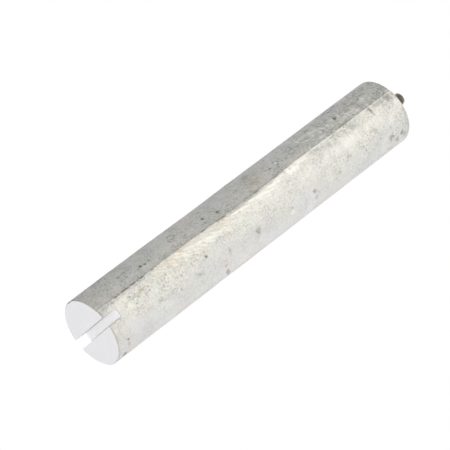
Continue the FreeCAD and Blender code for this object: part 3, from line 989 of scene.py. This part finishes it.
# %% Skin of the two halves
def cast_skin(name, tones):
    """Cast magnesium in one half's tones, given as hex codes by what each is for."""
    material, tree = blank_material(name)
    at = add(tree, "TexCoord").outputs["Object"]
    leaning = add(tree, "Mapping", {"Vector": at, "Rotation": (STROKE_LEAN, 0, 0), "Scale": (1, 1, 7)},
                  vector_type="TEXTURE")
    mark = {}
    for layer in values:
        mark[layer] = add(tree, "Attribute", attribute_name=layer).outputs["Fac"]
    for use, (size, detail, roughness, low, high) in PATTERNS.items():
        place = leaning if use == "file strokes" else at
        texture = add(tree, "TexNoise", {"Vector": place, "Scale": per_mm(size), "Detail": detail,
                                         "Roughness": roughness})
        mark[use] = add(tree, "MapRange", {"Value": texture.outputs["Fac"], "From Min": low,
                                           "From Max": high})
    dots = add(tree, "TexVoronoi", {"Vector": at, "Scale": per_mm(PINPRICKS_APART)})
    mark["pinpricks"] = add(tree, "MapRange", {"Value": dots.outputs["Distance"], "From Min": 0.14,
                                               "From Max": 0.26, "To Min": 1.0, "To Max": 0.0})

    colour = linear(tones["plain"])
    for tone, share, marks in COATS:
        for use in marks:
            share = add(tree, "Math", {0: share, 1: mark[use]}, operation="MULTIPLY")
        coat = add(tree, "Mix", {0: share, 6: colour, 7: linear(tones[tone])}, data_type="RGBA")
        colour = coat.outputs[2]
    rough = add(tree, "MapRange", {"Value": mark["grain"], "To Min": 0.62, "To Max": 0.76})
    bumps = add(tree, "TexNoise", {"Vector": at, "Scale": per_mm(0.6), "Detail": 3.0})
    bump = add(tree, "Bump", {"Height": bumps.outputs["Fac"], "Strength": 0.6, "Distance": 0.04 * MM})
    shader = add(tree, "BsdfPrincipled", {"Base Color": colour, "Metallic": 0.5, "Roughness": rough,
                                          "Specular IOR Level": 0.25, "Normal": bump})
    add(tree, "OutputMaterial", {"Surface": shader})
    return material


BRIGHT_TONES = {
    "plain": "e4e3e0", "cloud": "d3d3d3", "warm": "e5dcd8", "green": "dde1d7", "lamp_lit_band": "f0eee4",
    "cool_smooth_and_fill_light": "e7e7e9", "speckle": "9d9d98", "wear_and_highlight": "fdfbf4", "shade": "a5a39c", "oxide": "96968b",
    "tan": "d9c6ae", "stain": "998b80", "filed": "f6f1e4", "dirt_and_shade": "5e5b52",
}
DULL_TONES = {
    "plain": "bbbcb9", "cloud": "b2b2b4", "warm": "beb6b2", "green": "b6bab2", "lamp_lit_band": "c0beb6",
    "cool_smooth_and_fill_light": "babac0", "speckle": "82827e", "wear_and_highlight": "dddcd6", "shade": "8c8a86", "oxide": "83847b",
    "tan": "a59c80", "stain": "90847a", "filed": "d8d4c8", "dirt_and_shade": "46443e",
}
bright_skin = cast_skin("cast magnesium, bright half", BRIGHT_TONES)
dull_skin = cast_skin("cast magnesium, dull half", DULL_TONES)
print("skins", bright_skin.name, "and", dull_skin.name)

# %% [markdown]
# ## Sawn magnesium
#
# Where the saw went the metal is bare and clean, which gives the eye an even, slightly lilac pale grey with
# a soft sheen. Only faint lines from the blade run along the slot, and some patches are a little warmer.

# %% Sawn faces
def sawn_metal(name, first, second):
    """Bare magnesium with faint lines along the slot, patched in two tones."""
    material, tree = blank_material(name)
    at = add(tree, "TexCoord").outputs["Object"]
    patches = add(tree, "TexNoise", {"Vector": at, "Scale": per_mm(5.0), "Detail": 2.0})
    patches = add(tree, "MapRange", {"Value": patches.outputs["Fac"], "From Min": 0.35, "From Max": 0.65})
    colour = add(tree, "Mix", {0: patches, 6: linear(first), 7: linear(second)}, data_type="RGBA")
    blade = add(tree, "Mapping", {"Vector": at, "Scale": (0.08, 1, 1)})
    lines = add(tree, "TexNoise", {"Vector": blade, "Scale": per_mm(0.5), "Detail": 2.0})
    bump = add(tree, "Bump", {"Height": lines.outputs["Fac"], "Strength": 0.3, "Distance": 0.01 * MM})
    shader = add(tree, "BsdfPrincipled", {"Base Color": colour.outputs[2], "Metallic": 0.5,
                                          "Roughness": 0.6, "Specular IOR Level": 0.25, "Normal": bump})
    add(tree, "OutputMaterial", {"Surface": shader})
    return material


sawn = sawn_metal("sawn magnesium of the foot", "d6d7d8", "dad8db")
milled = sawn_metal("freshly cut magnesium of the slot", "dadadb", "dbd9da")
for material in (bright_skin, dull_skin, sawn, milled):
    cast_rod.data.materials.append(material)
print("finishes of the bar", [m.name for m in cast_rod.data.materials])

# %% [markdown]
# ## Yellow-passivated steel
#
# The stud is plated steel with the golden brown film that passivation leaves: fully metallic, fairly rough,
# and patchy where the film is thin. The colour goes by the distance from the axis: the crests are lighter
# and the roots of the thread darker. The flat tip is as light as the crests.

# %% Stud finish
steel, tree = blank_material("yellow passivated steel")
at = add(tree, "TexCoord").outputs["Object"]
level = add(tree, "VectorMath", {0: at, 1: (1, 1, 0)}, operation="MULTIPLY")
away = add(tree, "VectorMath", {0: level}, operation="LENGTH")
crest = add(tree, "MapRange", {"Value": away.outputs["Value"], "From Min": THREAD_ROOT, "From Max": CREST})
up = add(tree, "SeparateXYZ", {0: at})
tip = add(tree, "Math", {0: up.outputs["Z"], 1: TIP - 0.05 * MM}, operation="GREATER_THAN")
crest = add(tree, "Math", {0: crest, 1: tip}, operation="MAXIMUM")
film = add(tree, "TexNoise", {"Vector": at, "Scale": per_mm(2.2), "Detail": 3.0})
film = add(tree, "MapRange", {"Value": film.outputs["Fac"], "From Min": 0.42, "From Max": 0.60})
tone = add(tree, "Mix", {0: film, 6: linear("989290"), 7: linear("f0d9b4")}, data_type="RGBA")
colour = add(tree, "Mix", {0: crest, 6: linear("6a645c"), 7: tone.outputs[2]}, data_type="RGBA")
shader = add(tree, "BsdfPrincipled", {"Base Color": colour.outputs[2], "Metallic": 1.0, "Roughness": 0.42})
add(tree, "OutputMaterial", {"Surface": shader})
threaded.data.materials.append(steel)
print("stud finish", steel.name)
